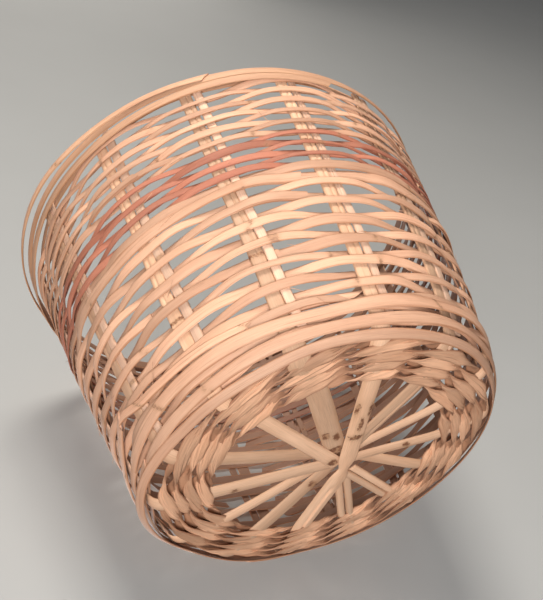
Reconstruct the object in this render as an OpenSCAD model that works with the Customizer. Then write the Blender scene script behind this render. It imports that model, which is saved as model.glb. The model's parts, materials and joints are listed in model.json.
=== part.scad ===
// Round hand-woven basket of split cane, for laundry. Standing upright:
// +Z runs along the axis to the mouth, and z = 0 is what it stands on.
// All sizes are in millimetres.

/* [Overall size] */
// Outer diameter where the wall leaves the base
base_d = 266; // [200:1:340]
// Outer diameter at the mouth
mouth_d = 360; // [260:1:460]
// Height from the floor to the top of the rim
height = 258; // [180:1:360]
// Shape of the wall: 1 is a straight flare, less rounds the bottom
flare_power = 0.6; // [0.4:0.05:1]
// Direction of the first arm of the base star, in degrees
first_arm = 57.5; // [0:0.5:360]

/* [Base star] */
// Sticks across the base, each giving two arms and two side stakes
stick_count = 7; // [5:2:9]
// Width of a stick on the base
stick_w = 13; // [8:0.5:16]
// Width of the two thickest arms
thick_arm_w = 15; // [10:0.5:18]
// Thickness of a split stick
stick_t = 2.2; // [1.5:0.1:4]
// Diameter of the open middle of the base
opening_d = 184; // [120:1:200]
// Where the sticks cross, sideways from the basket's axis
crossing_x = -2.5; // [-15:0.5:15]
// Where the sticks cross, the other way
crossing_y = -21; // [-25:0.5:25]
// Distance from the crossing at which the arms start to drop
stack_r = 36; // [30:1:45]
// Distance from the crossing at which they reach the base plane
settle_r = 66; // [55:1:80]
// Gap left at the crossing by an arm that ends there
arm_end_gap = 5; // [2:0.5:15]

/* [Side stakes] */
// Width of a main stake
stake_w = 11; // [8:0.5:16]
// Width of a bye-stake
bye_w = 7; // [4:0.5:10]
// Gap between a stake and its bye-stake
bye_gap = 0.4; // [0.2:0.1:1]
// Height at which the bye-stakes start
bye_start_z = 14; // [10:1:120]
// How far the stakes stop below the top of the rim
stake_below_rim = 3; // [0:0.5:10]

/* [Base rows] */
// Number of twined rows round the opening
base_rows = 4; // [2:1:5]
// Spacing of the twined rows
base_row_pitch = 8.5; // [7:0.1:12]
// Width of a strand where it lies flat on an arm
strand_w = 7.5; // [5:0.1:10]
// Thickness of a strand
strand_t = 1.8; // [1:0.1:3]

/* [Side weave] */
// Thickness of the flat weaving strips
strip_t = 1.8; // [1:0.1:3]
// Width of the lower strips
low_strip_w = 7.4; // [4:0.1:9]
// Width of the upper strips
high_strip_w = 5.3; // [3:0.1:7]
// Middle of the lowest strip above the floor
first_row_z = 14.5; // [12:0.5:20]
// Spacing of the lower rows
low_pitch = 8.9; // [7:0.1:12]
// Number of lower rows
low_rows = 15; // [8:1:20]
// Spacing of the upper rows
high_pitch = 5.85; // [5.2:0.05:9]
// Step from the last lower row to the first upper one
change_step = 8.4; // [6:0.1:12]

/* [Rim and corner] */
// Width of the rim strips
rim_w = 9; // [6:0.5:14]
// Thickness of the rim strips
rim_t = 2; // [1.5:0.1:4]
// How far the loose strip bulges out from the rim
loose_bulge = 9; // [4:1:25]
// Where the loose strip starts, in degrees round the rim
loose_start = 2; // [0:1:359]
// How far it runs round the rim, in degrees
loose_span = 112; // [60:1:160]
// Width of the loose strip
loose_w = 6; // [4:0.5:9]
// Width of the strip round the bottom corner
corner_w = 7; // [5:0.5:9]
// Thickness of the strip round the bottom corner
corner_t = 1.6; // [1:0.1:3]
// Width of the broad strips wrapped over the foot of the wall
wrap_w = 8.5; // [6:0.5:11]
// Thickness of the broad strips
wrap_t = 1.5; // [1:0.1:3]
// Height of the lower broad strip, which goes right round
low_wrap_z = 12; // [11:0.5:14]
// Height of the upper broad strip, which goes half round
high_wrap_z = 26; // [24:0.5:30]
// Width of the broad strip that rises to its cut end
rising_w = 9; // [6:0.5:11]
// Width of the narrow strip that starts beside that end
falling_w = 6; // [4:0.5:9]

/* [Hidden] */
gap = 0.2;
stakes = 2 * stick_count;
pitch_a = 360 / stakes;
half_pass = 0.2;
chord = cos(pitch_a * half_pass);
base_r = base_d / 2;
mouth_r = mouth_d / 2;
flat_z = strand_t + gap + stick_t / 2;
flat_r = opening_d / 2 + 0.5 + base_rows * base_row_pitch;
corner_z = 10;
stick_overlap = 4;
stack_floor = 0.4;
flat_lap = 9;
shave = 0.1;
slice = 0.4;
wrap_parts = 3;
corner_out = 8.2;
corner_mid_z = 3.4;
corner_tilt = 38;
rim_proud = 0.6;
loose_clear = 2;
rise_from = -2.2;
rise_bend = -1.2;
rise_end = -0.35;
fall_start = -0.28;
fall_bend = 0.4;
fall_end = 2;
cut_end_z = 47;
pair_shift = (bye_w + bye_gap) / 2;
stake_top = height - stake_below_rim;
round_fn = 96;

cane = [0.80, 0.63, 0.47];
pale = [0.86, 0.74, 0.56];
red = [0.66, 0.42, 0.33];

// Outer radius of the woven wall at height z.
function wall_r(z) =
    base_r + (mouth_r - base_r) * pow(max(z, 0) / height, flare_power);

// Middle of a stake's thickness at height z.
function stake_r(z) = (wall_r(z) - strip_t) * chord - gap - stick_t / 2;

// Height of row n of the side weave.
function row_z(n) = n < low_rows
    ? first_row_z + n * low_pitch
    : first_row_z + (low_rows - 1) * low_pitch + change_step
        + (n - low_rows) * high_pitch;

function row_w(n) = n < low_rows ? low_strip_w : high_strip_w;

// Turns a line of [x, y] points into a band of thickness t round it.
function side_of(p, s, t) = [
    for (i = [0 : len(p) - 1])
        let (
            a = p[max(i - 1, 0)],
            b = p[min(i + 1, len(p) - 1)],
            d = b - a,
            n = [-d[1], d[0]] / norm(d)
        )
        p[i] + n * s * t / 2
];

function backwards(p) = [for (i = [len(p) - 1 : -1 : 0]) p[i]];

module band(p, t) {
    polygon(concat(side_of(p, 1, t), backwards(side_of(p, -1, t))));
}

// Stands an XY band up in the plane that runs along angle a, w wide.
module stand_up(a, w) {
    rotate([0, 0, a])
        translate([0, w / 2, 0])
            rotate([90, 0, 0])
                linear_extrude(height = w)
                    children();
}

// The level of a stick's middle in the stack at the crossing.
function level_z(level) = stack_floor + stick_t / 2 + level * (stick_t + gap / 2);

// The line of an arm from the crossing out to the base plane.
function arm_line(level, start, reach) = concat(
    [[start, level_z(level)], [stack_r, level_z(level)]],
    [
        for (k = [1 : 3])
            let (u = k / 4)
            [
                stack_r + u * (settle_r - stack_r),
                level_z(level)
                    + (flat_z - level_z(level)) * (1 - cos(180 * u)) / 2
            ]
    ],
    [[settle_r, flat_z], [reach, flat_z]]
);

// One arm on the base: from the crossing to the edge of the flat base.
// It is shaved a little thinner than what it runs into, so that no two faces
// of a stick lie in one plane where its pieces meet.
module base_arm(i, level, w, start, shift = 0, shaves = 1) {
    a = first_arm + i * pitch_a;
    end_x = flat_r * cos(a) - crossing_x;
    end_y = flat_r * sin(a) - crossing_y;
    translate([crossing_x, crossing_y, 0])
        stand_shifted(atan2(end_y, end_x), w, shift)
            band(
                arm_line(level, start, norm([end_x, end_y])),
                stick_t - shaves * shave
            );
}

module stand_shifted(a, w, shift) {
    rotate([0, 0, a])
        translate([0, shift, 0])
            rotate([0, 0, -a])
                stand_up(a, w)
                    children();
}

// The line of a stake: flat on the base, round the corner, up the wall.
function corner_line() = concat(
    [[flat_r - flat_lap, flat_z], [flat_r, flat_z]],
    [
        for (b = [22.5 : 22.5 : 67.5])
            [
                flat_r + (stake_r(corner_z) - flat_r) * sin(b),
                flat_z + (corner_z - flat_z) * (1 - cos(b))
            ]
    ]
);

function wall_line(z0, z1, steps) = [
    for (k = [0 : steps])
        let (z = z0 + (z1 - z0) * pow(k / steps, 1.4))
        [stake_r(z), z]
];

// One side stake, with the turn at the bottom corner.
module stake(i) {
    stand_shifted(first_arm + i * pitch_a, stake_w, -pair_shift)
        band(concat(corner_line(), wall_line(corner_z, stake_top, 12)), stick_t);
}

// A full stick: two arms and the two stakes they turn into.
module full_stick(i, level) {
    base_arm(i, level, stick_w, -stick_overlap);
    base_arm(i + stick_count, level, stick_w, -stick_overlap, shaves = 2);
    stake(i);
    stake(i + stick_count);
}

// A thick arm with a cut end at the crossing.
module thick_half(i, level) {
    base_arm(i, level, thick_arm_w, arm_end_gap);
    stake(i);
}

// A doubled arm: two thin splits side by side, bound in under the stake.
module doubled_half(i, level) {
    thin = (stick_w - bye_gap) / 2;
    base_arm(i, level, thin, arm_end_gap, (thin + bye_gap) / 2);
    base_arm(i, level, thin, arm_end_gap, -(thin + bye_gap) / 2);
    stake(i);
}

// A bye-stake beside stake i.
module bye_stake(i) {
    stand_shifted(
        first_arm + i * pitch_a, bye_w, (stake_w + bye_w) / 2 + bye_gap - pair_shift
    )
        band(wall_line(bye_start_z, stake_top, 12), stick_t);
}

// Points of a ring that passes outside every second stake and inside
// the others: two points at each stake, at radius out_r or in_r.
function wave(parity, out_r, in_r) = [
    for (i = [0 : stakes - 1], s = [-1, 1])
        let (
            a = first_arm + (i + s * half_pass) * pitch_a,
            r = (i + parity) % 2 == 0 ? out_r : in_r
        )
        [r * cos(a), r * sin(a)]
];

// One flat weaving strip of the side, at row n.
module side_strip(n) {
    z = row_z(n);
    w = row_w(n);
    out_r = wall_r(z + w / 2);
    in_r = (stake_r(z - w / 2) - stick_t / 2 - gap) / chord;
    translate([0, 0, z - w / 2])
        linear_extrude(height = w)
            difference() {
                polygon(wave(n, out_r, in_r));
                polygon(wave(n, out_r - strip_t, in_r - strip_t));
            }
}

// One course: two strips, each outside where the other is inside.
module course(k) {
    side_strip(2 * k);
    side_strip(2 * k + 1);
}

// Sections of a twined strand: [place along the pitch, inner share,
// outer share, height share]. It lies under one arm and over the next,
// and turns past its partner between them.
function strand_stops(up) = [
    [-0.15, -1, 1, 1 - up],
    [0.15, -1, 1, 1 - up],
    [0.25, up ? -1 : 0.04, up ? -0.04 : 1, 1 - up],
    [0.75, up ? -1 : 0.04, up ? -0.04 : 1, up]
];

function strand_sections(parity, r) = [
    for (i = [0 : stakes - 1])
        let (over = (i + parity) % 2)
        for (s = strand_stops(1 - over))
            let (
                a = first_arm + (i + s[0]) * pitch_a,
                inner = r + s[1] * strand_w / 2,
                outer = r + s[2] * strand_w / 2,
                high = s[3] * (strand_t + 2 * gap + stick_t)
            )
            [
                [inner * cos(a), inner * sin(a), high],
                [outer * cos(a), outer * sin(a), high],
                [outer * cos(a), outer * sin(a), high + strand_t],
                [inner * cos(a), inner * sin(a), high + strand_t]
            ]
];

module ring_of_sections(sections) {
    n = len(sections);
    polyhedron(
        points = [for (s = sections, p = s) p],
        faces = [
            for (k = [0 : n - 1], j = [0 : 3])
                let (a = 4 * k, b = 4 * ((k + 1) % n), m = (j + 1) % 4)
                [a + j, a + m, b + m, b + j]
        ]
    );
}

module base_row(k) {
    r = opening_d / 2 + (k - 0.5) * base_row_pitch;
    ring_of_sections(strand_sections(0, r));
    ring_of_sections(strand_sections(1, r));
}

module corner_strip() {
    color(cane)
        rotate_extrude($fn = round_fn)
            translate([flat_r + corner_out, corner_mid_z])
                rotate([0, 0, corner_tilt])
                    square([corner_w, corner_t], center = true);
}

// A thin slice across a broad strip, lying on the wall at height z,
// at stake place i, which need not be whole.
module wrap_slice(i, z, w) {
    lean = atan((wall_r(z + 1) - wall_r(z - 1)) / 2);
    rotate([0, 0, first_arm + i * pitch_a])
        translate([wall_r(z) + gap + wrap_t, 0, z])
            rotate([0, lean, 0])
                cube([wrap_t, slice, w], center = true);
}

// A broad strip laid over the weave through places [stake place, height].
module wrap(places, w) {
    for (k = [0 : len(places) - 2])
        for (part = [0 : wrap_parts - 1]) {
            from = places[k];
            way = places[k + 1] - from;
            here = from + way * part / wrap_parts;
            next = from + way * (part + 1) / wrap_parts;
            hull() {
                wrap_slice(here[0], here[1], w);
                wrap_slice(next[0], next[1], w);
            }
        }
}

// A broad strip lying level on the wall at height z, from stake place i.
module level_wrap(i, z, turn) {
    lean = atan((wall_r(z + 1) - wall_r(z - 1)) / 2);
    rotate([0, 0, first_arm + i * pitch_a])
        rotate_extrude(angle = turn, $fn = round_fn)
            translate([wall_r(z) + gap + wrap_t, z])
                rotate([0, 0, -lean])
                    square([wrap_t, wrap_w], center = true);
}

module corner_wrap_low() {
    color(cane) level_wrap(0, low_wrap_z, 360);
}

module corner_wrap_high() {
    color(cane) level_wrap(-0.6, high_wrap_z, 7 * pitch_a);
}

module rising_strip() {
    places = [
        [rise_from, high_wrap_z - 4],
        [rise_bend, high_wrap_z + 5],
        [rise_end, cut_end_z]
    ];
    color(cane) wrap(places, rising_w);
}

module falling_strip() {
    places = [
        [fall_start, cut_end_z],
        [fall_bend, high_wrap_z + 12],
        [fall_end, high_wrap_z + 10]
    ];
    color(cane) wrap(places, falling_w);
}

module hoop(outer_r, w, t, top) {
    translate([0, 0, top - w])
        difference() {
            cylinder(r = outer_r, h = w, $fn = round_fn);
            translate([0, 0, -1])
                cylinder(r = outer_r - t, h = w + 2, $fn = round_fn);
        }
}

module rim_outer_strip() {
    color(cane) hoop(mouth_r + rim_proud, rim_w, rim_t, height);
}

module rim_inner_strip() {
    inner_r = stake_r(height - rim_w) - stick_t / 2 - 2 * gap;
    color(cane) hoop(inner_r, rim_w, rim_t, height);
}

module loose_rim_strip() {
    line = [
        for (u = [0 : 1 / 24 : 1.001])
            let (
                a = loose_start + loose_span * u,
                r = mouth_r + loose_clear + strip_t / 2 + loose_bulge * pow(sin(180 * u), 1.5)
            )
            [r * cos(a), r * sin(a)]
    ];
    color(cane)
        translate([0, 0, height - rim_w])
            linear_extrude(height = loose_w)
                band(line, strip_t);
}

module stick_c_l() {
    color(pale) full_stick(3, 0);
}

module thick_arm_a() {
    color(pale) thick_half(1, 1);
}

module doubled_arm_m() {
    color(pale) doubled_half(8, 1);
}

module thick_arm_b() {
    color(pale) thick_half(2, 2);
}

module doubled_arm_n() {
    color(pale) doubled_half(9, 2);
}

module stick_i_f() {
    color(pale) full_stick(6, 3);
}

module stick_k_d() {
    color(pale) full_stick(4, 4);
}

module stick_j_e() {
    color(pale) full_stick(5, 5);
}

module stick_h_g() {
    color(pale) full_stick(0, 6);
}

module bye_stake_01() {
    color(pale) bye_stake(0);
}

module bye_stake_02() {
    color(pale) bye_stake(1);
}

module bye_stake_03() {
    color(pale) bye_stake(2);
}

module bye_stake_04() {
    color(pale) bye_stake(3);
}

module bye_stake_05() {
    color(pale) bye_stake(4);
}

module bye_stake_06() {
    color(pale) bye_stake(5);
}

module bye_stake_07() {
    color(pale) bye_stake(6);
}

module bye_stake_08() {
    color(pale) bye_stake(7);
}

module bye_stake_09() {
    color(pale) bye_stake(8);
}

module bye_stake_10() {
    color(pale) bye_stake(9);
}

module bye_stake_11() {
    color(pale) bye_stake(10);
}

module bye_stake_12() {
    color(pale) bye_stake(11);
}

module bye_stake_13() {
    color(pale) bye_stake(12);
}

module bye_stake_14() {
    color(pale) bye_stake(13);
}

module base_row_1() {
    color(cane) base_row(1);
}

module base_row_2() {
    color(cane) base_row(2);
}

module base_row_3() {
    color(cane) base_row(3);
}

module base_row_4() {
    color(cane) base_row(4);
}

module course_01() {
    color(cane) course(0);
}

module course_02() {
    color(cane) course(1);
}

module course_03() {
    color(cane) course(2);
}

module course_04() {
    color(cane) course(3);
}

module course_05() {
    color(cane) course(4);
}

module course_06() {
    color(cane) course(5);
}

module course_07() {
    color(cane) course(6);
}

module course_08() {
    color(cane) course(7);
}

module red_course_09() {
    color(red) course(8);
}

module red_course_10() {
    color(red) course(9);
}

module red_course_11() {
    color(red) course(10);
}

module course_12() {
    color(cane) course(11);
}

module course_13() {
    color(cane) course(12);
}

module course_14() {
    color(cane) course(13);
}

module course_15() {
    color(cane) course(14);
}

module course_16() {
    color(cane) course(15);
}

stick_c_l();
stick_i_f();
stick_k_d();
stick_j_e();
stick_h_g();
thick_arm_a();
thick_arm_b();
doubled_arm_m();
doubled_arm_n();
bye_stake_01();
bye_stake_02();
bye_stake_03();
bye_stake_04();
bye_stake_05();
bye_stake_06();
bye_stake_07();
bye_stake_08();
bye_stake_09();
bye_stake_10();
bye_stake_11();
bye_stake_12();
bye_stake_13();
bye_stake_14();
base_row_1();
base_row_2();
base_row_3();
base_row_4();
corner_strip();
corner_wrap_low();
corner_wrap_high();
rising_strip();
falling_strip();
course_01();
course_02();
course_03();
course_04();
course_05();
course_06();
course_07();
course_08();
red_course_09();
red_course_10();
red_course_11();
course_12();
course_13();
course_14();
course_15();
course_16();
rim_outer_strip();
rim_inner_strip();
loose_rim_strip();
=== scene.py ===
# %% [markdown]
# # A woven cane laundry basket
# The basket is woven from split cane. Sticks cross under the base like the
# spokes of a wheel and turn up to become the stakes of the wall. Flat strips
# then go round and round, over one stake and under the next.
# The CAD model already has every piece as a plain solid. Here each one is
# remade with the small unevenness of hand work and with the look of cane.

# %% Open the frame and look at it
import json
import math

import bpy
import numpy as np
from mathutils import Matrix, Vector


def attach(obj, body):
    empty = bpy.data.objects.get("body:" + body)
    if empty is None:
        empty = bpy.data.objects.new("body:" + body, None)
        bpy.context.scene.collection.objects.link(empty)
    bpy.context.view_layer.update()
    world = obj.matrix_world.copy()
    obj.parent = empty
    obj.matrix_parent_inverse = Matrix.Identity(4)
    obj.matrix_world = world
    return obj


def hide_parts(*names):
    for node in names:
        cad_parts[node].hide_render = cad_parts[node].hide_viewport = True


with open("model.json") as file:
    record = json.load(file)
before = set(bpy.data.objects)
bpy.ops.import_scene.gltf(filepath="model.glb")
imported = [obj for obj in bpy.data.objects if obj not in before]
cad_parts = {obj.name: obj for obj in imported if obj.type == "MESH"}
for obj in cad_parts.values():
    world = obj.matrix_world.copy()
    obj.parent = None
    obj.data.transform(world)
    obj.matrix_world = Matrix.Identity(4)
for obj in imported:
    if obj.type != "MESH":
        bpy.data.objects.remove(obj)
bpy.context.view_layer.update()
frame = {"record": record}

NODES = [s["node"] for s in frame["record"]["subparts"]]
print("pieces in the CAD model:", len(NODES))

# %% [markdown]
# ## The sizes the basket is built on
# Everything round is placed by an angle, and everything on the wall by its
# height. Two short formulas give the wall's radius at a height, so each
# piece can follow the same gently rounded flare.

# %% Measures, in metres
MM = 0.001
STAKES = 14
STEP = 2 * math.pi / STAKES
FIRST = math.radians(57.5)
HEIGHT = 258 * MM
BASE_R = 133 * MM
MOUTH_R = 180 * MM
FLARE = 0.6
STRIP_T = 1.8 * MM
STICK_T = 2.2 * MM
GAP = 0.2 * MM
FLAT_R = 126.5 * MM
FLAT_Z = 3.1 * MM
CROSSING = np.array([-2.5, -21.0, 0.0]) * MM


def wall_r(z):
    """Outer radius of the weave at height z."""
    z = np.maximum(z, 0.0)
    return BASE_R + (MOUTH_R - BASE_R) * (z / HEIGHT) ** FLARE


def stake_r(z):
    """Radius of the middle of a stake at height z."""
    return (wall_r(z) - STRIP_T) * 0.996 - GAP - STICK_T / 2


def wall_slope(z):
    """How far the wall leans outward, in metres per metre of height."""
    return (wall_r(z + MM) - wall_r(z - MM)) / (2 * MM)


# %% [markdown]
# ## Even hands are never quite even
# A hand-woven thing wanders a little. Smooth noise made of a few sine waves
# is enough: it repeats after one turn, so a ring closes on itself, and a
# seed makes it the same on every run.


# %% Smooth noise round the basket
def waver(seed, low=1, high=6):
    """A smooth periodic function of an angle, about -1 to 1."""
    rng = np.random.default_rng(seed)
    k = np.arange(low, high + 1)
    phase = rng.uniform(0, 2 * math.pi, len(k))
    size = rng.uniform(0.5, 1.0, len(k)) / np.sqrt(len(k))
    return lambda a: (size * np.sin(np.multiply.outer(a, k) + phase)).sum(-1) * 1.2


def ease(x, low, high):
    """0 below low, 1 above high, smooth between them."""
    t = np.clip((x - low) / (high - low), 0, 1)
    return t * t * (3 - 2 * t)


print("noise at three angles:", waver(1)(np.array([0.0, 1.0, 2.0])).round(2))

# %% [markdown]
# ## The blank: one straight strip
# A split strip is flat on the pith side, a little crowned on the bark side,
# and its edges are rounded by the knife. One straight blank is modelled from
# a grid: extruded for its thickness, and bevelled along its long edges.
# Every strip in the basket is a copy of such a blank, bent to its path.


# %% Model a blank
def deselect():
    for o in bpy.context.selected_objects:
        o.select_set(False)


def make_blank(name, segments, across, width=1.0, thick=0.25, bevel=0.09):
    """A straight strip along X, from 0 to 1, WIDTH wide and THICK thick."""
    deselect()
    long = segments * 0.5
    bpy.ops.mesh.primitive_grid_add(
        x_subdivisions=segments, y_subdivisions=across, size=1, location=(long / 2, 0, 0)
    )
    blank = bpy.context.object
    blank.name = name
    blank.scale = (long, width, 1)
    bpy.ops.object.transform_apply(location=True, rotation=True, scale=True)
    bpy.ops.object.mode_set(mode="EDIT")
    bpy.ops.mesh.select_all(action="SELECT")
    bpy.ops.mesh.extrude_region_move(
        TRANSFORM_OT_translate={"value": (0, 0, -thick)}
    )
    bpy.ops.mesh.select_all(action="SELECT")
    bpy.ops.mesh.normals_make_consistent(inside=False)
    bpy.ops.mesh.select_all(action="DESELECT")
    bpy.ops.object.mode_set(mode="OBJECT")
    mesh = blank.data
    co = points_of(mesh)
    for e in mesh.edges:
        a, b = co[e.vertices[0]], co[e.vertices[1]]
        along = abs(a[0] - b[0]) > 1e-6
        rim = abs(abs(a[1]) - width / 2) < 1e-5 and abs(abs(b[1]) - width / 2) < 1e-5
        e.select = bool(along and rim)
    bpy.ops.object.mode_set(mode="EDIT")
    bpy.ops.mesh.select_mode(type="EDGE")
    bpy.ops.mesh.bevel(offset=bevel, segments=1, affect="EDGES")
    bpy.ops.object.mode_set(mode="OBJECT")
    blank.scale = (1 / long, 1, 1)
    bpy.ops.object.transform_apply(location=True, rotation=True, scale=True)
    blank.hide_render = True
    return blank


def points_of(mesh):
    co = np.empty(len(mesh.vertices) * 3, np.float32)
    mesh.vertices.foreach_get("co", co)
    return co.reshape(-1, 3).astype(float)


BLANKS = {
    "ring": make_blank("blank_ring", 240, 4),
    "short": make_blank("blank_short", 90, 4),
    "stick": make_blank("blank_stick", 150, 10),
    "long_stick": make_blank("blank_long_stick", 320, 10),
    "strand": make_blank("blank_strand", 420, 10),
    "sliver": make_blank("blank_sliver", 8, 1),
}
for key, blank in BLANKS.items():
    print(key, "blank has", len(blank.data.polygons), "faces")

# %% [markdown]
# ## Bending a blank to a path
# A path is a list of points, with an outward direction at each. Every
# cross-section of the blank is moved to its place on the path and turned so
# that its crowned side faces outward. Each vertex also keeps where it was on
# the straight strip: how far along, how far across, and how deep. The grain
# of the cane reads those, so it follows every bend.


# %% Lay a strip along a path
def resample(path, count):
    """COUNT points and their distance along PATH, by even arc length."""
    step = np.linalg.norm(np.diff(path, axis=0), axis=1)
    s = np.concatenate([[0], np.cumsum(step)])
    at = np.linspace(0, s[-1], count)
    return np.stack([np.interp(at, s, path[:, k]) for k in range(3)], 1), at


def smooth_path(knots, per_span=12):
    """A Catmull-Rom curve through the knots."""
    p = np.vstack([2 * knots[0] - knots[1], knots, 2 * knots[-1] - knots[-2]])
    t = np.linspace(0, 1, per_span, endpoint=False)[:, None]
    out = []
    for a, b, c, d in zip(p[:-3], p[1:-2], p[2:-1], p[3:]):
        out.append(
            0.5 * (
                2 * b + (c - a) * t + (2 * a - 5 * b + 4 * c - d) * t**2
                + (3 * b - a - 3 * c + d) * t**3
            )
        )
    return np.vstack(out + [knots[-1:]])


def unit(v):
    return v / np.maximum(np.linalg.norm(v, axis=-1, keepdims=True), 1e-12)


def lay(blank, path, outward, width, thick, seed, crown=0.35, roll=0.0,
        knots=(), skew=0.0, grooves=(), marks=()):
    """Mesh data of BLANK bent to PATH. Most measures may vary along it."""
    mesh = blank.data.copy()
    co = points_of(mesh)
    count = len(path)
    share = np.clip(co[:, 0], 0, 1)
    place = share * (count - 1)
    low = np.minimum(place.astype(int), count - 2)
    mix = (place - low)[:, None]

    def at(values):
        values = np.broadcast_to(values, (count,) + np.shape(values)[1:]).astype(float)
        m = mix if values.ndim > 1 else mix[:, 0]
        return values[low] * (1 - m) + values[low + 1] * m

    tangent = unit(np.gradient(path, axis=0))
    normal = outward - (outward * tangent).sum(1, keepdims=True) * tangent
    normal = unit(normal)
    side = np.cross(normal, tangent)
    turn = np.broadcast_to(roll, (count,))[:, None]
    normal, side = (
        normal * np.cos(turn) + side * np.sin(turn),
        side * np.cos(turn) - normal * np.sin(turn),
    )
    along = np.concatenate([[0], np.cumsum(np.linalg.norm(np.diff(path, axis=0), axis=1))])
    w = co[:, 1] * 2
    deep = co[:, 2] / 0.25 + 1
    lift = (deep - 0.5) - at(crown) * w * w * deep
    for middle, depth in grooves:
        lift -= at(depth) * np.exp(-(((w - middle) / 0.11) ** 2)) * deep
    s = at(along) + skew * w
    bulge = np.zeros(len(co))
    for k in knots:
        bulge += np.exp(-(((s - k) / (2.6 * MM)) ** 2))
    wide = at(np.broadcast_to(width, (count,))) * (1 + 0.06 * bulge)
    thin = at(np.broadcast_to(thick, (count,))) * (1 + 0.22 * bulge)
    new = (
        at(path)
        + at(side) * (w * wide / 2)[:, None]
        + at(normal) * (lift * thin)[:, None]
        + at(tangent) * (skew * w * np.abs(2 * share - 1) ** 60)[:, None]
    )
    mesh.vertices.foreach_set("co", new.astype(np.float32).ravel())
    strip = mesh.attributes.new("strip", "FLOAT_VECTOR", "POINT")
    strip.data.foreach_set(
        "vector", np.stack([s, w, deep], 1).astype(np.float32).ravel()
    )
    tone = mesh.attributes.new("tone", "FLOAT", "POINT")
    tone.data.foreach_set("value", np.full(len(co), seed * 0.618 % 1, np.float32))
    scars = np.clip(bulge, 0, 1)
    for s0, w0, half_long, half_wide in marks:
        far = ((s - s0) / half_long) ** 2 + ((w - w0) / half_wide) ** 2
        scars = np.maximum(scars, np.exp(-1.1 * far))
    scar = mesh.attributes.new("scar", "FLOAT", "POINT")
    scar.data.foreach_set("value", scars.astype(np.float32))
    mesh.update()
    return mesh


def piece_of(name, meshes, node):
    """Joins the bent strips into one named piece that stands for a CAD node."""
    deselect()
    parts = []
    for mesh in meshes:
        o = bpy.data.objects.new(name, mesh)
        bpy.context.scene.collection.objects.link(o)
        o.select_set(True)
        parts.append(o)
    bpy.context.view_layer.objects.active = parts[0]
    if len(parts) > 1:
        bpy.ops.object.join()
    piece = bpy.context.object
    piece.name = name
    bpy.ops.object.shade_smooth_by_angle(angle=math.radians(50))
    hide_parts(node)
    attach(piece, "root")
    MADE.append(piece)
    return piece


MADE = []
print("ready to bend strips")

# %% [markdown]
# ## Cane, as shader node groups
# Split cane has long fine fibres, a slow change of tone along each strip,
# darker streaks where bark is left, warm brown edges made darker still as
# painted shade along the strip edges, and brown scars at the knots. Inner
# faces get a dark brown as painted shade. Those effects are shared by all
# the finishes, so they are node groups: one for the fibres and tone, one for
# the scars.


# %% Small helpers for node trees
def new_group(name, inputs, outputs):
    tree = bpy.data.node_groups.new(name, "ShaderNodeTree")
    for label, kind, value in inputs:
        socket = tree.interface.new_socket(label, in_out="INPUT", socket_type=kind)
        if value is not None:
            socket.default_value = value
    for label, kind in outputs:
        tree.interface.new_socket(label, in_out="OUTPUT", socket_type=kind)
    return tree, tree.nodes.new("NodeGroupInput"), tree.nodes.new("NodeGroupOutput")


def node(tree, kind, inputs=(), **settings):
    n = tree.nodes.new("ShaderNode" + kind)
    for key, value in settings.items():
        setattr(n, key, value)
    for key, value in dict(inputs).items():
        if isinstance(value, bpy.types.NodeSocket):
            tree.links.new(value, n.inputs[key])
        else:
            n.inputs[key].default_value = value
    return n


def maths(tree, operation, a, b=None, clamp=False):
    pairs = {0: a} if b is None else {0: a, 1: b}
    return node(tree, "Math", pairs, operation=operation, use_clamp=clamp).outputs[0]


def blend(tree, factor, a, b, mode="MIX"):
    n = node(tree, "Mix", data_type="RGBA", blend_type=mode)
    for socket, value in ((n.inputs[0], factor), (n.inputs[6], a), (n.inputs[7], b)):
        if isinstance(value, bpy.types.NodeSocket):
            tree.links.new(value, socket)
        else:
            socket.default_value = value
    return n.outputs[2]


def ramp(tree, value, low, high):
    """0 to 1 as VALUE goes from low to high."""
    n = node(tree, "MapRange", {"Value": value, "From Min": low, "From Max": high})
    n.interpolation_type = "SMOOTHSTEP"
    return n.outputs[0]


def stretched(tree, vector, scale, offset=None):
    n = node(tree, "VectorMath", {0: vector, 1: scale}, operation="MULTIPLY")
    if offset is None:
        return n.outputs[0]
    return node(tree, "VectorMath", {0: n.outputs[0], 1: offset}, operation="ADD").outputs[0]


def noise(tree, vector, detail=3.0, rough=0.6):
    return node(
        tree, "TexNoise", {"Vector": vector, "Scale": 1.0, "Detail": detail, "Roughness": rough}
    ).outputs[0]
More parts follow.
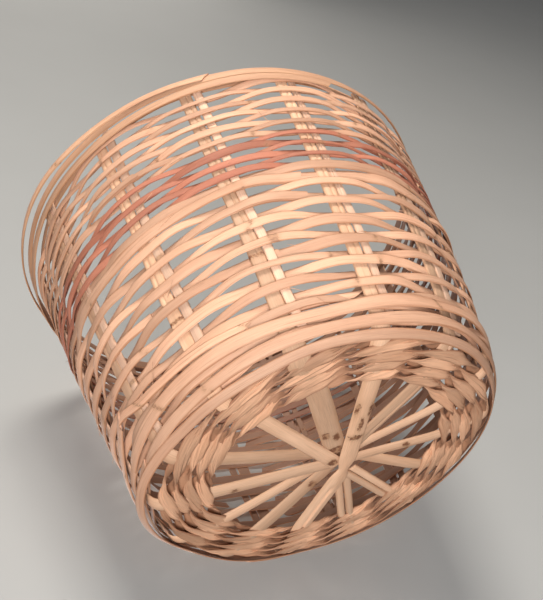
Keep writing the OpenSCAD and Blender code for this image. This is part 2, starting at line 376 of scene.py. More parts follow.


# %% The fibre group: colour, roughness and height of split cane, with painted shade on inner faces and edges
def build_fibre_group():
    tree, gi, go = new_group(
        "cane_fibre",
        [
            ("Strip", "NodeSocketVector", None),
            ("Tone", "NodeSocketFloat", 0.5),
            ("Light colour", "NodeSocketColor", (0.7, 0.5, 0.3, 1)),
            ("Deep colour", "NodeSocketColor", (0.5, 0.3, 0.2, 1)),
            ("Streak colour", "NodeSocketColor", (0.25, 0.12, 0.07, 1)),
            ("Edge colour", "NodeSocketColor", (0.6, 0.3, 0.12, 1)),
            ("Pith colour", "NodeSocketColor", (0.24, 0.125, 0.095, 1)),
            ("Streak amount", "NodeSocketFloat", 0.5),
            ("Edge amount", "NodeSocketFloat", 0.5),
        ],
        [
            ("Color", "NodeSocketColor"),
            ("Roughness", "NodeSocketFloat"),
            ("Height", "NodeSocketFloat"),
        ],
    )
    strip, tone = gi.outputs["Strip"], gi.outputs["Tone"]
    own = node(
        tree, "CombineXYZ",
        {"X": maths(tree, "MULTIPLY", tone, 71.0), "Y": maths(tree, "MULTIPLY", tone, 37.0),
         "Z": maths(tree, "MULTIPLY", tone, 53.0)},
    ).outputs[0]
    fine = noise(tree, stretched(tree, strip, (55.0, 9.0, 0.6), own), 4.0, 0.65)
    broad = noise(tree, stretched(tree, strip, (14.0, 0.5, 0.3), own), 2.0)
    dark = noise(tree, stretched(tree, strip, (11.0, 2.6, 0.4), own), 4.0, 0.7)
    colour = blend(
        tree, ramp(tree, broad, 0.3, 0.72), gi.outputs["Light colour"],
        gi.outputs["Deep colour"],
    )
    shade = maths(tree, "SUBTRACT", tone, 0.5)
    shade = maths(tree, "MULTIPLY_ADD", shade, 0.42)
    shade.node.inputs[2].default_value = 1.0
    shade = maths(tree, "MULTIPLY", shade, ramp(tree, fine, -0.9, 0.8))
    grey = node(tree, "CombineXYZ", {"X": shade, "Y": shade, "Z": shade}).outputs[0]
    colour = blend(tree, 1.0, colour, grey, "MULTIPLY")
    streak = maths(
        tree, "MULTIPLY", ramp(tree, dark, 0.56, 0.72), gi.outputs["Streak amount"], True
    )
    colour = blend(tree, streak, colour, gi.outputs["Streak colour"])
    # Painted shade: inner faces are mixed towards a dark brown that stands in for the shade
    # inside the basket.
    inside = ramp(tree, node(tree, "SeparateXYZ", {"Vector": strip}).outputs["Z"], 0.5, 0.1)
    colour = blend(tree, maths(tree, "MULTIPLY", inside, 0.88), colour, gi.outputs["Pith colour"])
    # Edges: warm brown knife-cut edges, made darker as painted shade for the shadow lines along
    # strip edges.
    across = node(tree, "SeparateXYZ", {"Vector": strip}).outputs["Y"]
    edge = ramp(tree, maths(tree, "ABSOLUTE", across), 0.62, 1.0)
    edge = maths(tree, "MULTIPLY", edge, gi.outputs["Edge amount"], True)
    edge = maths(tree, "MULTIPLY", edge, ramp(tree, dark, 0.3, 0.6))
    colour = blend(tree, edge, colour, gi.outputs["Edge colour"])
    tree.links.new(colour, go.inputs["Color"])
    rough = maths(tree, "MULTIPLY_ADD", fine, 0.3)
    rough.node.inputs[2].default_value = 0.42
    tree.links.new(rough, go.inputs["Roughness"])
    height = maths(tree, "SUBTRACT", fine, maths(tree, "MULTIPLY", streak, 0.3))
    tree.links.new(height, go.inputs["Height"])
    return tree


# %% The scar group: ragged brown rings where a leaf or twig grew
def build_scar_group():
    tree, gi, go = new_group(
        "knot_scar",
        [
            ("Strip", "NodeSocketVector", None),
            ("Scar", "NodeSocketFloat", 0.0),
            ("Below", "NodeSocketColor", (0.7, 0.5, 0.3, 1)),
            ("Scar colour", "NodeSocketColor", (0.2, 0.08, 0.04, 1)),
            ("Halo colour", "NodeSocketColor", (0.45, 0.24, 0.13, 1)),
            ("Amount", "NodeSocketFloat", 1.0),
            ("Height", "NodeSocketFloat", 0.5),
        ],
        [("Color", "NodeSocketColor"), ("Height", "NodeSocketFloat")],
    )
    strip = gi.outputs["Strip"]
    ragged = noise(tree, stretched(tree, strip, (300.0, 2.6, 2.0)), 5.0, 0.75)
    strong = maths(tree, "MULTIPLY", gi.outputs["Scar"], 1.3)
    mask = maths(tree, "SUBTRACT", strong, maths(tree, "MULTIPLY", ragged, 1.7))
    mask = ramp(tree, mask, -0.06, 0.2)
    mask = maths(tree, "MULTIPLY", mask, ramp(tree, gi.outputs["Scar"], 0.04, 0.5))
    patch = noise(tree, stretched(tree, strip, (170.0, 1.7, 1.0)), 3.0)
    brown = blend(tree, ramp(tree, patch, 0.42, 0.6), gi.outputs["Scar colour"],
                  gi.outputs["Halo colour"])
    halo = maths(tree, "MULTIPLY", ramp(tree, gi.outputs["Scar"], 0.02, 0.8), 0.35)
    colour = blend(tree, halo, gi.outputs["Below"], gi.outputs["Halo colour"])
    mask = maths(tree, "MULTIPLY", mask, gi.outputs["Amount"])
    colour = blend(tree, mask, colour, brown)
    tree.links.new(colour, go.inputs["Color"])
    height = maths(tree, "SUBTRACT", gi.outputs["Height"], maths(tree, "MULTIPLY", mask, 0.5))
    tree.links.new(height, go.inputs["Height"])
    return tree


FIBRE = build_fibre_group()
SCAR = build_scar_group()
print("node groups:", FIBRE.name, SCAR.name)


# %% [markdown]
# ## The finishes
# Six finishes share the two groups. Split sticks and bye-stakes are pale
# wood, the flat strips are peach tan, the twined strands are darker and
# creased, and one band of strips is reddish brown. Inner faces get a darker
# brown than the bark side as painted shade, standing in for the shade inside
# the basket; less so on the twined strands, which show both.


# %% Make a finish
# Painted shade: the dark brown given to inner faces, standing in for the shade inside the basket.
INNER_FACE_PAINTED_SHADE = (0.26, 0.137, 0.088)


def cane(name, light, deep, streak, edge, streaks, edges, bump, scars_show=1.0, inner_shade=INNER_FACE_PAINTED_SHADE):
    mat = bpy.data.materials.new(name)
    mat.use_nodes = True
    tree = mat.node_tree
    shader = tree.nodes["Principled BSDF"]
    strip = node(tree, "Attribute", attribute_name="strip").outputs["Vector"]
    tone = node(tree, "Attribute", attribute_name="tone").outputs["Fac"]
    scars = node(tree, "Attribute", attribute_name="scar").outputs["Fac"]
    fibre = tree.nodes.new("ShaderNodeGroup")
    fibre.node_tree = FIBRE
    tree.links.new(strip, fibre.inputs["Strip"])
    tree.links.new(tone, fibre.inputs["Tone"])
    fibre.inputs["Light colour"].default_value = (*light, 1)
    fibre.inputs["Deep colour"].default_value = (*deep, 1)
    fibre.inputs["Streak colour"].default_value = (*streak, 1)
    fibre.inputs["Edge colour"].default_value = (*edge, 1)
    fibre.inputs["Pith colour"].default_value = (*inner_shade, 1)
    fibre.inputs["Streak amount"].default_value = streaks
    fibre.inputs["Edge amount"].default_value = edges
    knot = tree.nodes.new("ShaderNodeGroup")
    knot.node_tree = SCAR
    tree.links.new(strip, knot.inputs["Strip"])
    tree.links.new(scars, knot.inputs["Scar"])
    tree.links.new(fibre.outputs["Color"], knot.inputs["Below"])
    tree.links.new(fibre.outputs["Height"], knot.inputs["Height"])
    knot.inputs["Amount"].default_value = scars_show
    tree.links.new(knot.outputs["Color"], shader.inputs["Base Color"])
    tree.links.new(fibre.outputs["Roughness"], shader.inputs["Roughness"])
    relief = node(tree, "Bump", {"Height": knot.outputs["Height"], "Strength": bump,
                                 "Distance": 0.0006})
    tree.links.new(relief.outputs["Normal"], shader.inputs["Normal"])
    shader.inputs["Specular IOR Level"].default_value = 0.35
    return mat


# Each finish's fourth colour is its edge colour: the cane's own brownish edge, darkened further
# as painted shade.
FINISH = {
    "split_stick": cane("split_stick", (0.81, 0.50, 0.32), (0.71, 0.41, 0.25),
                        (0.46, 0.24, 0.13), (0.52, 0.28, 0.15), 0.35, 0.5, 0.5),
    "bye_stake": cane("bye_stake", (0.82, 0.53, 0.37), (0.73, 0.44, 0.30),
                      (0.42, 0.21, 0.12), (0.50, 0.26, 0.14), 0.4, 0.5, 0.5, 0.6),
    # The twined strands' last colour is a lighter painted shade for their inner faces.
    "twined_strand": cane("twined_strand", (0.82, 0.46, 0.28), (0.68, 0.36, 0.21),
                          (0.28, 0.12, 0.065), (0.34, 0.145, 0.075), 0.75, 0.9, 1.1, 1.0,
                          (0.46, 0.23, 0.13)),
    "tan_strip": cane("tan_strip", (0.83, 0.48, 0.31), (0.74, 0.40, 0.25),
                      (0.36, 0.16, 0.09), (0.42, 0.18, 0.085), 0.5, 0.9, 0.6, 0.55),
    "red_strip": cane("red_strip", (0.58, 0.225, 0.14), (0.49, 0.175, 0.105),
                      (0.30, 0.10, 0.06), (0.33, 0.105, 0.06), 0.5, 0.8, 0.6, 0.5),
    "rim_strip": cane("rim_strip", (0.80, 0.46, 0.28), (0.70, 0.38, 0.23),
                      (0.36, 0.17, 0.09), (0.42, 0.19, 0.085), 0.5, 0.9, 0.6, 0.7),
}
print("finishes:", ", ".join(FINISH))

# %% [markdown]
# ## The star of sticks
# Five sticks run right across the base and turn up at both ends. Two thick
# ones stop at the crossing with a cut end, and opposite each of them lie two
# thin splits side by side. At the crossing they lie on one another, so each
# has its own level there and drops to the base plane before the first row.


# %% The line of one arm and its stake
def radial(angle):
    return np.array([math.cos(angle), math.sin(angle), 0.0])


STACK_FLOOR = 0.4 * MM
LEVEL_STEP = 2.3 * MM
STICK_START = 9 * MM


def level_z(level):
    return STACK_FLOOR + STICK_T / 2 + LEVEL_STEP * level


def reach_of(way, radius):
    """Distance from the crossing, along WAY, to a circle round the axis."""
    near = CROSSING @ way
    return -near + math.sqrt(near * near - CROSSING @ CROSSING + radius * radius)


ARM_LEAN = -3.7 * MM


def arm_knots(i, level, shift=0.0, start=STICK_START):
    """Points from the crossing out to the corner, then up the wall."""
    a = FIRST + i * STEP
    out = radial(a)
    end = out * FLAT_R
    way = unit((end - CROSSING)[None])[0]
    cross = np.array([-way[1], way[0], 0.0]) * shift
    high = level_z(level)
    inner = reach_of(way, 90 * MM)
    outer = reach_of(way, 124 * MM)
    pts = []
    for d in np.linspace(start, inner, 5):
        share = np.clip((d - STICK_START) / (inner - STICK_START), 0, 1)
        share = 0.7 * share + 0.3 * ease(share, 0, 1)
        pts.append(CROSSING + way * d + [0, 0, high + (FLAT_Z - high) * share] + cross)
    tangential = np.array([-out[1], out[0], 0.0])
    lean = tangential * ARM_LEAN
    for share in (0.35, 0.7, 1.0):
        spot = CROSSING + way * (inner + (outer - inner) * share) + [0, 0, FLAT_Z]
        pts.append(spot + lean * share + cross * (1 - 0.4 * share))
    pts.append(out * 131 * MM + [0, 0, 4.6 * MM] + lean)
    for z in (9, 18, 32, 50, 75, 100, 130, 160, 190, 220, 250, 255):
        z = z * MM
        pts.append(out * stake_r(z) + [0, 0, z] + lean)
    return np.array(pts)


def outward_at(path):
    """Down on the base, outward on the wall, turning at the corner."""
    up = ease(path[:, 2], 1 * MM, 16 * MM) * ease(
        np.linalg.norm(path[:, :2], axis=1), 115 * MM, 133 * MM
    )
    flat = path * [1, 1, 0]
    return unit(unit(flat) * up[:, None] + np.array([0, 0, -1.0]) * (1 - up)[:, None])


# %% Lay the sticks
ARM_WIDTH = [14, 12.5, 17, 15, 13.5, 10.5, 11, 11.5, 6.6, 6.6, 16, 14.5, 12, 14.5]
# Scars on an arm: distance from the crossing, place across, half length, half width.
SCARS = {
    1: [(16, 0.0, 8, 1.1)],
    2: [(26, 0.0, 7, 1.5), (44, -0.4, 9, 0.6), (51, 0.5, 8, 0.6)],
    3: [(42, 0.0, 5, 1.4), (57, 0.1, 14, 0.45), (74, -0.7, 12, 0.4), (72, 0.7, 13, 0.4)],
    6: [(52, -0.1, 5, 1.1)],
    11: [(30, 0.2, 6, 1.3)],
    13: [(88, 0.3, 5, 0.6)],
}
SPLIT_ARMS = {10: 0.0, 4: 0.2}


def arm_direction(i):
    return unit((radial(FIRST + i * STEP) * FLAT_R - CROSSING)[None])[0]


def near_arm(path, i):
    """Distance from the crossing along arm i, or -1 where PATH is not on it."""
    d = (path - CROSSING) @ arm_direction(i)
    return np.where(d > 0, d, -1.0)


STAKE_W = 10.8 * MM
DOUBLED_W = 5.6 * MM


def stick_width(path, arms, stake_w=STAKE_W):
    up = ease(path[:, 2], 4 * MM, 30 * MM)
    top = ease(path[:, 2], 60 * MM, 230 * MM)
    base_w = 0
    for i in arms:
        share = ease(near_arm(path, i), -15 * MM, 15 * MM) if len(arms) > 1 else 1
        base_w = base_w + ARM_WIDTH[i] * MM * share
    return base_w * (1 - up) + stake_w * up * (1 - 0.10 * top)


def stick_thick(path):
    far = np.linalg.norm(path - CROSSING, axis=1)
    thicker = 0.5 * ease(far, 25 * MM, 60 * MM)
    thinner = 0.5 * ease(path[:, 2], 3 * MM, 30 * MM)
    return (2.7 + thicker - thinner) * MM


def stick_crown(path):
    """Well rounded on the base, nearly flat on the wall."""
    return 0.52 - 0.34 * ease(path[:, 2], 6 * MM, 40 * MM)


def marks_of(path, arms):
    """Scars of the arms as places along PATH."""
    s = np.concatenate([[0], np.cumsum(np.linalg.norm(np.diff(path, axis=0), axis=1))])
    out = []
    for i in arms:
        for d, across, half_long, half_wide in SCARS.get(i, ()):
            spot = CROSSING + arm_direction(i) * d * MM
            k = int(np.argmin(np.linalg.norm((path - spot) * [1, 1, 0], axis=1)))
            out.append((s[k], across, half_long * MM, half_wide))
    return out


def grooves_of(path, arms):
    """A seam up each stake, and the splits of the split arms."""
    out = []
    for i in arms:
        mine = ease(near_arm(path, i), 0, 20 * MM)
        seam = 0.34 * ease(path[:, 2], 30 * MM, 120 * MM) * mine
        out.append((0.2 if i % 2 else -0.2, seam))
        if i in SPLIT_ARMS:
            flat = 1 - ease(path[:, 2], 3 * MM, 12 * MM)
            open_at = ease(near_arm(path, i), 18 * MM, 30 * MM)
            out.append((SPLIT_ARMS[i], 0.75 * flat * open_at))
    return out


def wobble_path(path, seed, size):
    s = np.linspace(0, 5, len(path))
    rng = waver(seed, 1, 4), waver(seed + 1, 1, 4), waver(seed + 2, 1, 4)
    sway = np.stack([f(s) for f in rng], 1) * size
    sway[:, 2] *= 0.3
    return path + sway


def full_stick(i, level, seed):
    one = arm_knots(i, level)[::-1]
    two = arm_knots(i + 7, level)
    path, _ = resample(smooth_path(np.vstack([one, two])), 460)
    path = wobble_path(path, seed, 0.5 * MM)
    arms = (i, (i + 7) % STAKES)
    return [lay(
        BLANKS["long_stick"], path, outward_at(path), stick_width(path, arms),
        stick_thick(path), seed, crown=stick_crown(path), marks=marks_of(path, arms),
        knots=[0.11 + 0.03 * math.sin(seed), 0.72], grooves=grooves_of(path, arms),
    )]


def half_stick(i, level, seed, start, shifts=(0.0,)):
    out = []
    for n, shift in enumerate(shifts):
        knots = arm_knots(i, level, shift, start)
        path, _ = resample(smooth_path(knots), 260)
        path = wobble_path(path, seed + n, 0.4 * MM)
        stake = STAKE_W if len(shifts) == 1 else DOUBLED_W
        out.append(lay(
            BLANKS["stick"], path, outward_at(path), stick_width(path, (i,), stake),
            stick_thick(path), seed + n, crown=stick_crown(path), marks=marks_of(path, (i,)),
            knots=[0.21 + 0.03 * n], grooves=grooves_of(path, (i,)) if len(shifts) == 1 else (),
        ))
    return out


PAIR = (3.4 * MM, -3.4 * MM)
STICKS = [
    ("stick_c_l", full_stick, (3, 0, 11)), ("stick_i_f", full_stick, (6, 3, 12)),
    ("stick_k_d", full_stick, (4, 4, 13)), ("stick_j_e", full_stick, (5, 5, 14)),
    ("stick_h_g", full_stick, (0, 6, 15)),
    ("thick_arm_a", half_stick, (1, 1, 16, STICK_START)),
    ("thick_arm_b", half_stick, (2, 2, 18, 22 * MM)),
    ("doubled_arm_m", half_stick, (8, 1, 20, STICK_START, PAIR)),
    ("doubled_arm_n", half_stick, (9, 2, 22, STICK_START, PAIR)),
]
for name, make, values in STICKS:
    piece = piece_of("laid_" + name, make(*values), name)
    print(piece.name, len(piece.data.polygons), "faces")

# %% [markdown]
# ## Bye-stakes
# A thinner split stands beside each stake, pushed down into the weave, so
# that every upright looks doubled. They are the same blank, narrower.

# %% Lay the bye-stakes
BYE_SHIFT = 5.7 * MM
for i in range(STAKES):
    a = FIRST + i * STEP
    out = radial(a)
    tangential = np.array([-out[1], out[0], 0.0])
    zs = np.linspace(12, 253 + 3 * math.sin(i * 2.3), 12) * MM
    path = np.stack([out * stake_r(z) + [0, 0, z] + tangential * BYE_SHIFT for z in zs])
    path, _ = resample(smooth_path(path), 200)
    path = wobble_path(path, 40 + i, 0.5 * MM)
    mesh = lay(
        BLANKS["stick"], path, outward_at(path), 7.2 * MM * (1 + 0.08 * math.sin(i * 1.7)),
        2.5 * MM, 40 + i, crown=0.2, knots=[0.05 + 0.16 * ((i * 0.37) % 1)],
        grooves=[(0.2, 0.5 * ease(path[:, 2], 90 * MM, 150 * MM))] if i % 3 == 0 else (),
    )
    name = f"bye_stake_{i + 1:02d}"
    piece_of("laid_" + name, [mesh], name)
print("bye-stakes laid:", STAKES)

# %% [markdown]
# ## Twined rows of the base
# Two strands go round together. One passes under an arm while the other
# passes over it, and they turn past each other before the next arm, always
# the same way. That twist is what makes a row look like a rope.


# %% Lay one twined strand
def twined_strand(row, parity, seed):
    """Line, outward direction, width and thickness of one strand of a row."""
    r_mid = 92.6 * MM + (row - 0.5) * 8.8 * MM
    a = np.linspace(0, 2 * math.pi * 1.01, 1800) + FIRST + STEP * (0.5 + 2 * row)
    drift = 0.10 * waver(seed + 7, 2, 6)(a)
    turn = math.pi * ((a - FIRST) / STEP + parity + drift)
    c, q = np.cos(turn), np.sin(turn)
    flat = np.sign(c) * np.abs(c) ** 0.6
    r = r_mid + 3.7 * MM * q + 0.6 * MM * waver(seed, 3, 14)(a)
    z = FLAT_Z + 0.9 * MM - 2.4 * MM * flat + 0.3 * MM * waver(seed + 1, 3, 9)(a)
    path = np.stack([r * np.cos(a), r * np.sin(a), z], 1)
    facing = turn - 0.38 * np.sin(2 * turn)
    out = np.stack([np.cos(a), np.sin(a), 0 * a], 1)
    outward = out * np.sin(facing)[:, None] - np.array([0, 0, 1.0]) * np.cos(facing)[:, None]
    width = (5.0 + 4.9 * ease(np.abs(c), 0.1, 0.8)) * MM
    width = width * (1 + 0.10 * waver(seed + 3, 4, 16)(a))
    thick = (2.6 - 0.9 * ease(np.abs(c), 0.2, 0.9)) * MM
    return path, outward, width, thick


CREASES = [(-0.4, 0.35), (0.2, 0.45), (0.6, 0.3)]
for row in range(1, 5):
    meshes = []
    for parity in (0, 1):
        seed = 60 + 2 * row + parity
        path, outward, width, thick = twined_strand(row, parity, seed)
        u = np.linspace(0, 2 * math.pi, len(path))
        creases = [
            (place, depth * (0.55 + 0.5 * waver(seed + 20 + n, 6, 26)(u)))
            for n, (place, depth) in enumerate(CREASES)
        ]
        meshes.append(lay(BLANKS["strand"], path, outward, width, thick, seed, crown=0.5,
                          roll=0.14, grooves=creases))
    piece_of(f"laid_base_row_{row}", meshes, f"base_row_{row}")
print("twined rows laid: 4")

# %% [markdown]
# ## The weave of the wall
# Each strip passes outside one stake and inside the next. There is an even
# number of stakes, so one strip alone would cover the same stakes for ever:
# two strips chase each other instead, one out where the other is in.
# Each ends where it began, lapped over its own start.


# %% Heights and widths of the rows
LOW_ROWS = 15
FIRST_ROW = 14.5
LOW_PITCH = 8.9
CHANGE_STEP = 8.4
HIGH_PITCH = 5.85


def row_z(n):
    if n < LOW_ROWS:
        return (FIRST_ROW + LOW_PITCH * n) * MM
    last_low = FIRST_ROW + LOW_PITCH * (LOW_ROWS - 1)
    return (last_low + CHANGE_STEP + HIGH_PITCH * (n - LOW_ROWS)) * MM


ROW_WIDTH = {0: 7.6, 1: 7.8, 14: 9.0, 15: 8.2}
# Rows that stay outside from one stake to another, missing a stake between.
STAY_OUT = {14: [(0, 2), (4, 6)], 15: [(3, 5)]}


def row_width(n):
    usual = 7.4 if n < LOW_ROWS else 5.4
    return ROW_WIDTH.get(n, usual * (1 + 0.14 * math.sin(n * 2.9))) * MM


SHARED_SWAY = [waver(200 + k, 1, 7) for k in range(4)]


def shared_sway(a, z):
    """Rise and fall that neighbouring rows share, so that they never cross."""
    place = z / HEIGHT * 3
    out = 0
    for k, f in enumerate(SHARED_SWAY):
        out = out + f(a) * np.maximum(0, 1 - np.abs(place - k))
    return out


# %% Lay one flat weaver
def weaver_path(n, seed):
    rng = np.random.default_rng(seed)
    lap = STEP * 0.7
    start = FIRST + STEP * (rng.integers(0, STAKES) + 0.5 * (n % 2))
    a = np.linspace(start, start + 2 * math.pi + lap, 1200)
    u = (a - FIRST) / STEP
    c = np.cos(math.pi * (u + n))
    shape = c * (1.5 - 0.5 * c * c)
    z0 = row_z(n)
    swing = 1.5 + 1.3 * ease(z0, 150 * MM, 230 * MM)
    z = z0 + swing * MM * shared_sway(a, z0) + 0.95 * MM * waver(seed + 500, 3, 12)(a)
    out_r = wall_r(z) - 0.6 * MM
    in_r = stake_r(z) - 2.8 * MM
    for low, high in STAY_OUT.get(n, ()):
        here = (u - low) % STAKES
        leaving = ease(here, high - low - 0.2, high - low)
        shape = np.maximum(shape, ease(here, 0, 0.2) * (1 - leaving))
    r = (out_r + in_r) / 2 + (out_r - in_r) / 2 * shape
    r = r + 0.35 * MM * waver(seed + 900, 5, 17)(a)
    over = ease(a, start + 2 * math.pi - STEP * 0.1, start + 2 * math.pi + STEP * 0.1)
    r = r + 1.3 * MM * over
    return np.stack([r * np.cos(a), r * np.sin(a), z], 1)


def weaver(n, seed):
    path, s = resample(weaver_path(n, seed), 760)
    a = np.unwrap(np.arctan2(path[:, 1], path[:, 0]))
    lean = wall_slope(path[:, 2])
    flat = unit(path * [1, 1, 0])
    outward = unit(flat - np.array([0, 0, 1.0]) * lean[:, None])
    roll = 0.17 * waver(seed + 700, 3, 11)(a)
    width = row_width(n) * (1 + 0.10 * waver(seed + 300, 2, 9)(a))
    rng = np.random.default_rng(seed + 5)
    scars = rng.uniform(0, s[-1], 4)
    return lay(BLANKS["ring"], path, outward, width, 1.35 * MM, seed, crown=0.3,
               roll=roll, knots=list(scars), skew=2.5 * MM * rng.uniform(-1, 1))


FULL_TURN = 2 * math.pi
COURSES = 16
RED_COURSES = (8, 9, 10)
for k in range(COURSES - 1):
    red = k in RED_COURSES
    name = ("red_" if red else "") + f"course_{k + 1:02d}"
    meshes = [weaver(n, 100 + n) for n in (2 * k, 2 * k + 1)]
    piece_of("laid_" + name, meshes, name)
print("courses laid:", COURSES - 1)

# %% [markdown]
# ## Torn fibres
# Splitting cane leaves a fibre standing here and there along an edge. They
# are hair thin slivers, each a small blank bent up and away from its strip.
# They stand all over the wall and are joined to the top course, which is
# laid here with them.


# %% Raise some fibres
def sliver(rng):
    n = int(rng.integers(0, 2 * COURSES))
    a = rng.uniform(0, FULL_TURN)
    long = rng.uniform(7, 20) * MM
    z = row_z(n) + rng.uniform(-3, 3) * MM
    t = np.linspace(0, 1, 9)
    angle = a + rng.choice([-1, 1]) * t * long / wall_r(z) * rng.uniform(0.3, 1)
    rise = z + t * long * rng.uniform(-0.7, 0.7) + 2 * MM * t * t * rng.uniform(-1, 1)
    r = wall_r(np.abs(rise)) - 0.5 * MM + t**1.5 * rng.uniform(1, 4) * MM
    path = np.stack([r * np.cos(angle), r * np.sin(angle), rise], 1)
    return lay(BLANKS["sliver"], path, outward_at(path), 0.55 * MM * (1.1 - t), 0.3 * MM,
               rng.uniform(0, 9))


RNG = np.random.default_rng(77)
SLIVER_COUNT = 70
SLIVERS = [sliver(RNG) for _ in range(SLIVER_COUNT)]
piece_of("laid_course_16", [weaver(n, 100 + n) for n in (30, 31)] + SLIVERS, "course_16")
print("fibres raised:", len(SLIVERS))


# %% [markdown]
# ## Corner and rim
# One flat strip covers the turn from base to wall. Two broad ones lie over the
# foot of the wall: the lower goes right round, the upper half round before it
# dives behind the weave. A broad strip climbs to a cut end, and a narrower one
# starts beside that end. At the rim one strip goes nearly twice round outside
# the stakes, one runs inside them, and a loose one has sprung outward.


# %% Lay the hoops
def hoop(seed, places, width, thick, offset=0.0, start=0.0, span=FULL_TURN, lean=None,
         bulge=None, blank="ring", skew=3 * MM):
    """A strip round the basket. PLACES gives its height at angles, in stake steps."""
    a = np.linspace(start, start + span, 900)
    knots = np.array(places, float)
    z = np.interp((a - FIRST) / STEP, knots[:, 0], knots[:, 1]) * MM
    z = np.convolve(np.pad(z, 40, mode="edge"), np.ones(81) / 81, mode="valid")
    z = z + 0.6 * MM * waver(seed + 1, 2, 8)(a)
    lap = ease(a, start + FULL_TURN - 0.05, start + FULL_TURN + 0.1)
    r = wall_r(z) + offset + 0.4 * MM * waver(seed, 3, 12)(a) + thick * lap
    if bulge:
        r = r + bulge(a)
    path = np.stack([r * np.cos(a), r * np.sin(a), z], 1)
    path, s = resample(path, 760)
    slope = wall_slope(path[:, 2]) if lean is None else np.full(len(path), lean)
    outward = unit(unit(path * [1, 1, 0]) - np.array([0, 0, 1.0]) * slope[:, None])
    a2 = np.unwrap(np.arctan2(path[:, 1], path[:, 0]))
    wide = width * (1 + 0.08 * waver(seed + 2, 2, 9)(a2))
    return lay(BLANKS[blank], path, outward, wide, thick, seed, crown=0.3,
               roll=0.10 * waver(seed + 3, 3, 9)(a2), knots=[0.13 * s[-1], 0.62 * s[-1]],
               skew=skew)


def at_stake(i):
    return FIRST + i * STEP


def swell(start, span, size):
    """How far a strip stands away from the wall between two places."""
    return lambda a: size * np.sin(
        math.pi * np.clip((a - at_stake(start)) / (span * STEP), 0, 1)) ** 1.4


def tuck(begins, ends, size):
    """A strip that dives behind the weave between two places."""
    return lambda a: -size * ease(a, at_stake(begins), at_stake(ends))


CORNER_RING = [(-6, 4.0), (30, 4.0)]
piece_of("laid_corner_strip", [hoop(301, CORNER_RING, 7.4 * MM, 1.4 * MM, -1.5 * MM,
                                    at_stake(-4), FULL_TURN + 0.25, lean=0.95,
                                    bulge=swell(-2.4, 2.9, 9 * MM))],
         "corner_strip")
LOW_WRAP = [(-6, 12), (-1, 9), (1, 13), (3, 12), (6, 14), (9, 11), (13, 9), (15, 13), (20, 12)]
piece_of("laid_corner_wrap_low", [hoop(311, LOW_WRAP, 8.4 * MM, 1.5 * MM, 1.0 * MM,
                                       at_stake(-1), FULL_TURN + 0.3)],
         "corner_wrap_low")
HIGH_WRAP = [(-1, 19), (-0.4, 22), (0.4, 27), (1.5, 27), (2.5, 22), (3.5, 26), (5, 28), (7, 25)]
piece_of("laid_corner_wrap_high", [hoop(313, HIGH_WRAP, 9.4 * MM, 1.5 * MM, 1.1 * MM,
                                        at_stake(-0.6), 7 * STEP,
                                        bulge=tuck(5.6, 6.3, 6 * MM))],
         "corner_wrap_high")
RISING = [(-2.3, 21), (-1.2, 28), (-0.8, 36), (-0.3, 50)]
piece_of("laid_rising_strip", [hoop(315, RISING, 9.6 * MM, 1.6 * MM, 1.4 * MM,
                                    at_stake(-2.2), 1.85 * STEP, blank="short",
                                    skew=7 * MM)],
         "rising_strip")
FALLING = [(-0.3, 50), (0.1, 40), (0.5, 37), (1.2, 35), (2.0, 35)]
piece_of("laid_falling_strip", [hoop(317, FALLING, 6.4 * MM, 1.5 * MM, 1.5 * MM,
                                     at_stake(-0.3), 3.1 * STEP, blank="short",
                                     bulge=tuck(1.1, 1.9, 6 * MM), skew=5 * MM)],
         "falling_strip")

# The outer strip goes round nearly twice, and comes down a little as it does.
OUTER = [(-7, 252), (6, 253.5), (8, 250), (11, 240), (14, 241), (17, 245), (20, 236)]
piece_of("laid_rim_outer", [hoop(303, OUTER, 7.6 * MM, 1.6 * MM, 0.2 * MM, at_stake(-6),
                                 23.5 * STEP, lean=0.08, blank="strand",
                                 bulge=lambda a: swell(-2.6, 5, 4 * MM)(a)
                                 + swell(11.4, 5, 2.5 * MM)(a))],
         "rim_outer_strip")
piece_of("laid_rim_inner", [hoop(305, [(-6, 252.6), (30, 252.6)], 9.0 * MM, 1.5 * MM,
                                 -6.6 * MM, 4.0, FULL_TURN + 0.4, lean=0.08)],
         "rim_inner_strip")
LOOSE = [(-3, 250), (-1, 252), (1, 253), (4, 252)]
piece_of("laid_loose_rim", [hoop(307, LOOSE, 6.2 * MM, 1.5 * MM, 2.4 * MM, at_stake(-2.2),
                                 4.4 * STEP, lean=0.05, blank="short",
                                 bulge=swell(-2.2, 4.4, 9 * MM), skew=4 * MM)],
         "loose_rim_strip")
print("rim and corner laid")

# %% Give every piece its finish
SLOT_OF = {s["node"]: s["material_slot"] for s in frame["record"]["subparts"]}
for piece in MADE:
    name = piece.name.replace("laid_", "")
    key = {"rim_outer": "rim_outer_strip", "rim_inner": "rim_inner_strip",
           "loose_rim": "loose_rim_strip"}.get(name, name)
    piece.data.materials.clear()
    piece.data.materials.append(FINISH[SLOT_OF[key]])
for blank in BLANKS.values():
    bpy.data.objects.remove(blank, do_unlink=True)
print("pieces:", len(MADE), "faces:", sum(len(p.data.polygons) for p in MADE))

# %% [markdown]
# ## Floors
# The basket lies on its side towards the camera, so the floor it is seen on
# leans along its side. Seen upright it stands on a level floor. Both floors
# show only from their front, and neither blocks light, so each view has the
# one it needs.


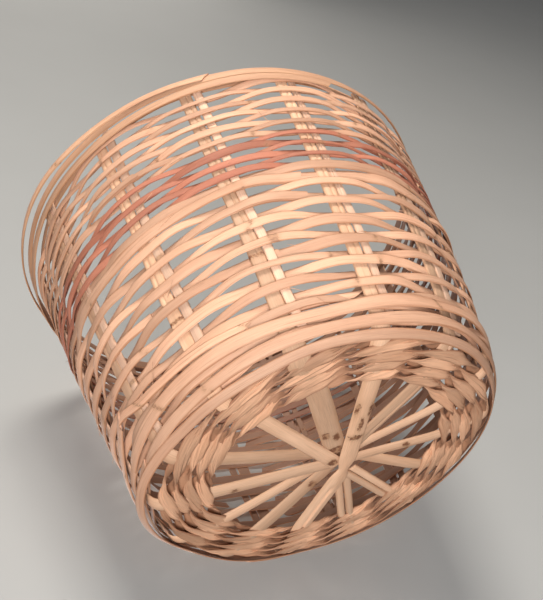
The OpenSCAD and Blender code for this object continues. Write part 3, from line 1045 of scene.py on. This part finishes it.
# %% Two pale floors
def floor_material():
    mat = bpy.data.materials.new("pale_floor")
    mat.use_nodes = True
    tree = mat.node_tree
    shader = tree.nodes["Principled BSDF"]
    shader.inputs["Roughness"].default_value = 0.85
    place = node(tree, "TexCoord").outputs["Object"]
    soft = noise(tree, stretched(tree, place, (3.0, 3.0, 3.0)), 3.0)
    colour = blend(tree, soft, (0.40, 0.40, 0.39, 1), (0.44, 0.44, 0.43, 1))
    tree.links.new(colour, shader.inputs["Base Color"])
    clear = tree.nodes.new("ShaderNodeBsdfTransparent")
    behind = tree.nodes.new("ShaderNodeNewGeometry").outputs["Backfacing"]
    mix = tree.nodes.new("ShaderNodeMixShader")
    tree.links.new(behind, mix.inputs[0])
    tree.links.new(shader.outputs[0], mix.inputs[1])
    tree.links.new(clear.outputs[0], mix.inputs[2])
    tree.links.new(mix.outputs[0], tree.nodes["Material Output"].inputs["Surface"])
    return mat


FLOOR = floor_material()


def add_floor(name, centre, normal, size=8.0):
    deselect()
    turn = Vector(normal).to_track_quat("Z", "Y").to_euler()
    bpy.ops.mesh.primitive_plane_add(size=size, location=centre, rotation=turn)
    floor = bpy.context.object
    floor.name = name
    floor.data.materials.append(FLOOR)
    floor.visible_diffuse = False
    floor.visible_glossy = False
    floor.visible_shadow = False
    return floor


SIDE = np.array([1.0, -1.0, 0.0]) / math.sqrt(2)
LOW_EDGE = 138.5 * MM
HIGH_EDGE = 182.5 * MM
slope = (HIGH_EDGE - LOW_EDGE) / HEIGHT
side_normal = unit((-SIDE + np.array([0, 0, slope]))[None])[0]
add_floor("floor_level", (0, 0, 0), (0, 0, 1))
add_floor("floor_side", SIDE * LOW_EDGE, side_normal)
print("floors added")

# %% [markdown]
# ## Camera and light
# The camera is near the basket, below its base line when it stands upright,
# because the basket shows its base. Big soft lamps all round keep every side
# readable, and the strongest comes from above the lying basket.

# %% Camera
RIGHT = Vector((-0.82853361, -0.46019736, -0.31898346))
DOWN = Vector((0.53504011, -0.48267729, -0.69336477))
AHEAD = Vector((0.16511857, -0.74514496, 0.64613841))
CAMERA_PLACE = (-0.13953, 0.57978, -0.33562)
camera = bpy.data.objects.new("camera", bpy.data.cameras.new("camera"))
bpy.context.scene.collection.objects.link(camera)
camera.data.lens = 54
camera.data.sensor_width = 36
camera.data.clip_start = 0.01
turn = Matrix((RIGHT, -DOWN, -AHEAD)).transposed()
camera.matrix_world = Matrix.Translation(CAMERA_PLACE) @ turn.to_4x4()
bpy.context.scene.camera = camera


# %% Lamps and sky
def lamp(name, place, power, size, colour=(1, 1, 1)):
    light = bpy.data.lights.new(name, "AREA")
    light.energy = power
    light.size = size
    light.color = colour
    o = bpy.data.objects.new(name, light)
    bpy.context.scene.collection.objects.link(o)
    o.location = place
    aim = Vector((0, 0, 0.12)) - Vector(place)
    o.rotation_euler = aim.to_track_quat("-Z", "Y").to_euler()
    return o


WARM = (1.0, 0.95, 0.88)
lamp("lamp_above_lying", (-0.9, 1.1, 0.9), 23, 0.6, WARM)
lamp("lamp_camera_side", (-0.1, 1.2, -1.1), 32, 0.75)
lamp("lamp_top", (0.2, -0.2, 1.9), 7, 1.2, WARM)
lamp("lamp_front", (1.1, -1.3, 0.7), 26, 1.4)
world = bpy.data.worlds.new("soft_sky")
world.use_nodes = True
world.node_tree.nodes["Background"].inputs["Color"].default_value = (0.95, 0.97, 1.0, 1)
world.node_tree.nodes["Background"].inputs["Strength"].default_value = 0.14
bpy.context.scene.world = world
bpy.context.scene.view_settings.view_transform = "Standard"
